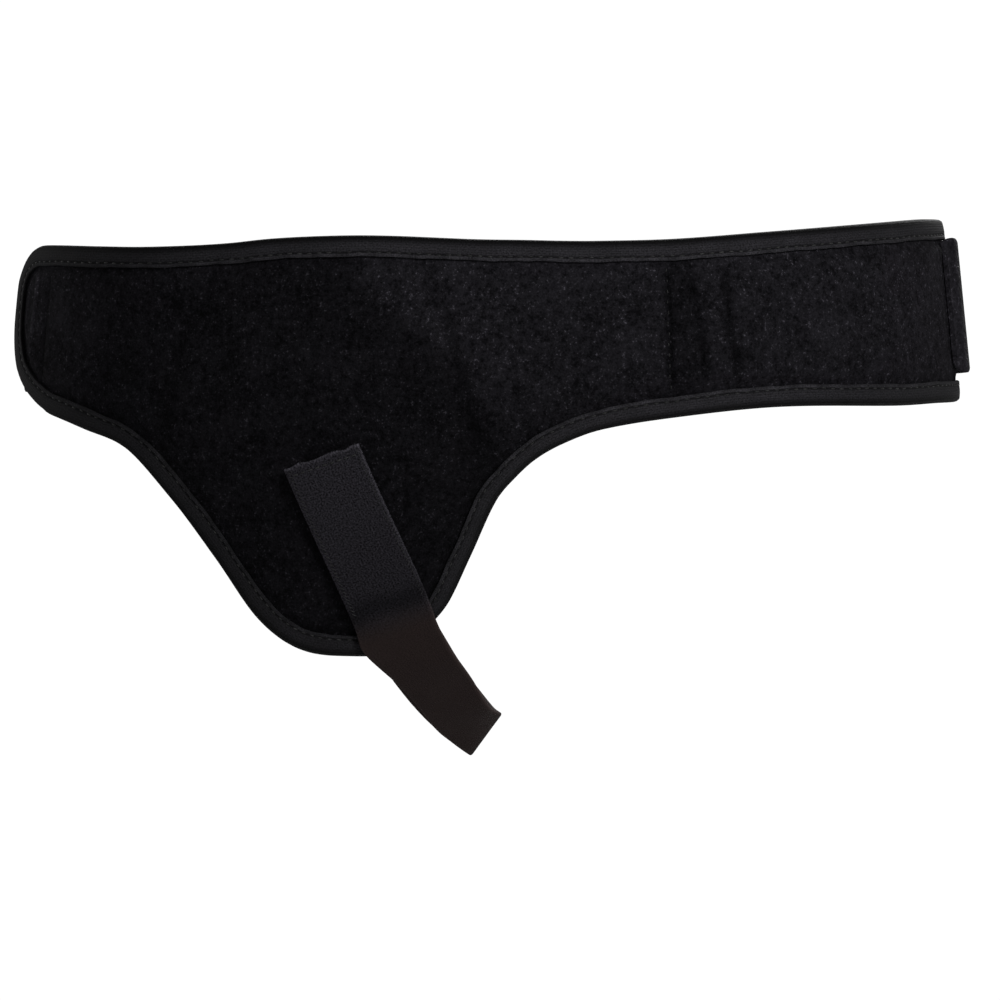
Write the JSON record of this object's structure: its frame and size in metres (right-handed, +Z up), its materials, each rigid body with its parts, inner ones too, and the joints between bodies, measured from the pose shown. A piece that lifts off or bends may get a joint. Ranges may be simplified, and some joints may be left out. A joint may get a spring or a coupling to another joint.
{
  "type": "hernia belt",
  "caption": "Hernia belt in its worn form: padded front panel with a bound groin lobe, a wide back strap and an elastic groin strap, closed by hook tape.",
  "frame": {"origin": "middle of the waist loop, level with the middle of the belt, where it sits round the hips", "axes": "+X to the wearer's left, -Y to the wearer's front, +Z up"},
  "size_m": [0.3581, 0.2328, 0.2012],
  "materials": {
    "loop_cloth": "napped",
    "binding_tape": "woven",
    "pad_foam": "knitted",
    "strap_cloth": "napped",
    "elastic_webbing": "woven",
    "hook_tape": "matte"
  },
  "bodies": {
    "root": {"front_panel": "loop_cloth", "edge_binding": "binding_tape", "groin_pad": "pad_foam", "back_strap": "strap_cloth", "hip_hook_patch_right": "hook_tape", "hip_hook_patch_left": "hook_tape", "groin_strap": "elastic_webbing", "groin_hook_front": "hook_tape", "groin_hook_back": "hook_tape"}
  },
  "joints": []
}
